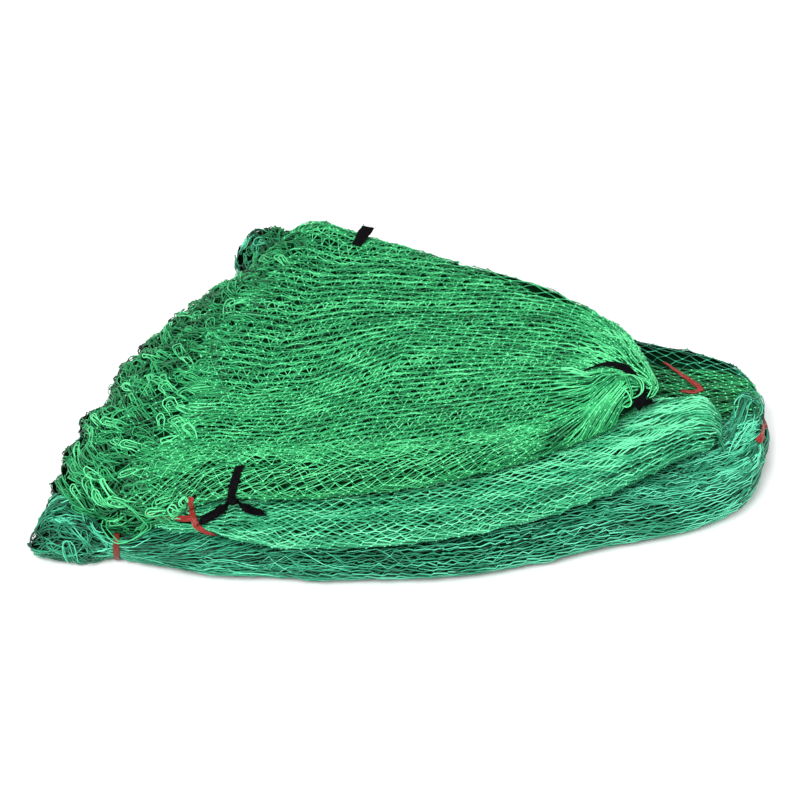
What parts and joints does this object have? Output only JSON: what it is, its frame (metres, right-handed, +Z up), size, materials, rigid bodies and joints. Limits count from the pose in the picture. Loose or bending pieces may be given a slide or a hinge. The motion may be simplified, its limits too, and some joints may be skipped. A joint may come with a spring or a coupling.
{
  "type": "folded fishing net",
  "caption": "Knotted twine fishing net folded into a flat tiered bundle, gathered at one end, with a ruffled open edge and ribbon ties.",
  "frame": {"origin": "on the ground under the middle of the folded bundle", "axes": "+X along the folded hanks towards the gathered end, +Y to the back, +Z up"},
  "size_m": [0.7595, 0.5052, 0.1126],
  "materials": {
    "net_twine": "twisted polyethylene twine, slightly glossy",
    "black_tape": "woven tape, matte",
    "red_ribbon": "thin plastic ribbon, glossy"
  },
  "bodies": {
    "root": {"net": "net_twine", "black_tie_front": "black_tape", "black_tie_neck": "black_tape", "black_tie_back": "black_tape", "red_tie_lower": "red_ribbon", "red_tie_middle_left": "red_ribbon", "red_tie_middle_right": "red_ribbon", "red_tie_right_end": "red_ribbon"}
  },
  "joints": []
}
